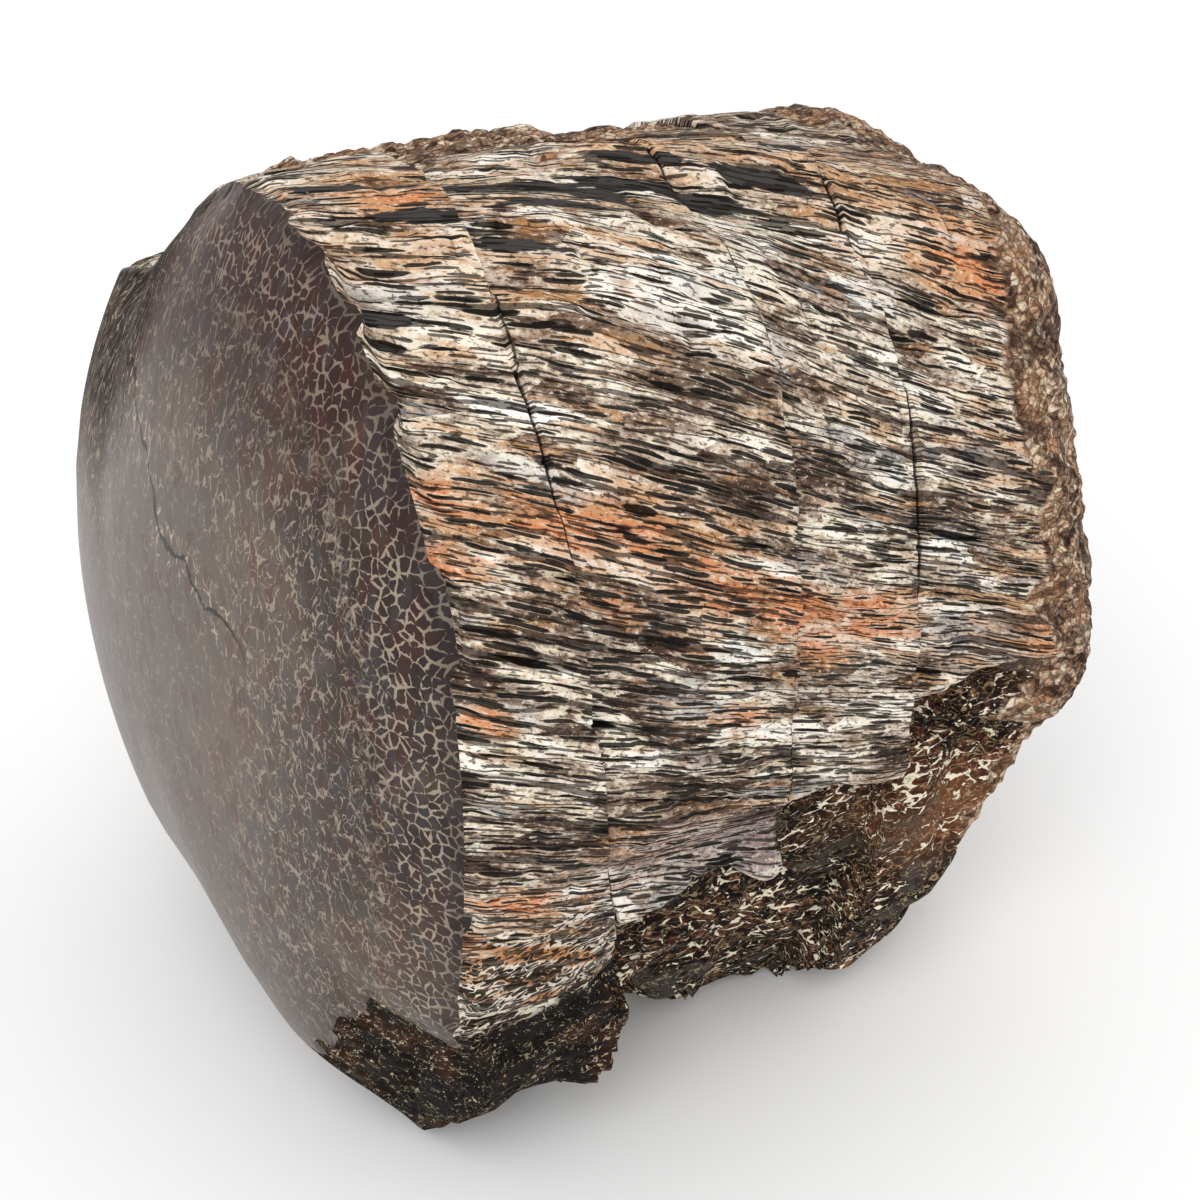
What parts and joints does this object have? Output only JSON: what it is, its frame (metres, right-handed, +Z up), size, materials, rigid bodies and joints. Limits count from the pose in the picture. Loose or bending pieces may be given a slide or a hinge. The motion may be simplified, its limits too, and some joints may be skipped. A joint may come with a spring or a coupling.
{
  "type": "fossil bone fragment",
  "caption": "Short broken length of fossil limb bone, domed and polished at one end, lying on its side on a small flat spot as a specimen or shelf piece.",
  "frame": {"origin": "middle of the piece's box, on the flat underside that it rests on", "axes": "+X along the shaft from the polished end to the broken end, -Y towards the side with the stepped bark, +Z up"},
  "size_m": [0.085, 0.0852, 0.0893],
  "materials": {
    "fossil_bone": "raw weathered bark in cream, grey and rust with dark slits; the domed end polished to a satin grey-brown"
  },
  "bodies": {
    "root": {"bone_fragment": "fossil_bone"}
  },
  "joints": []
}
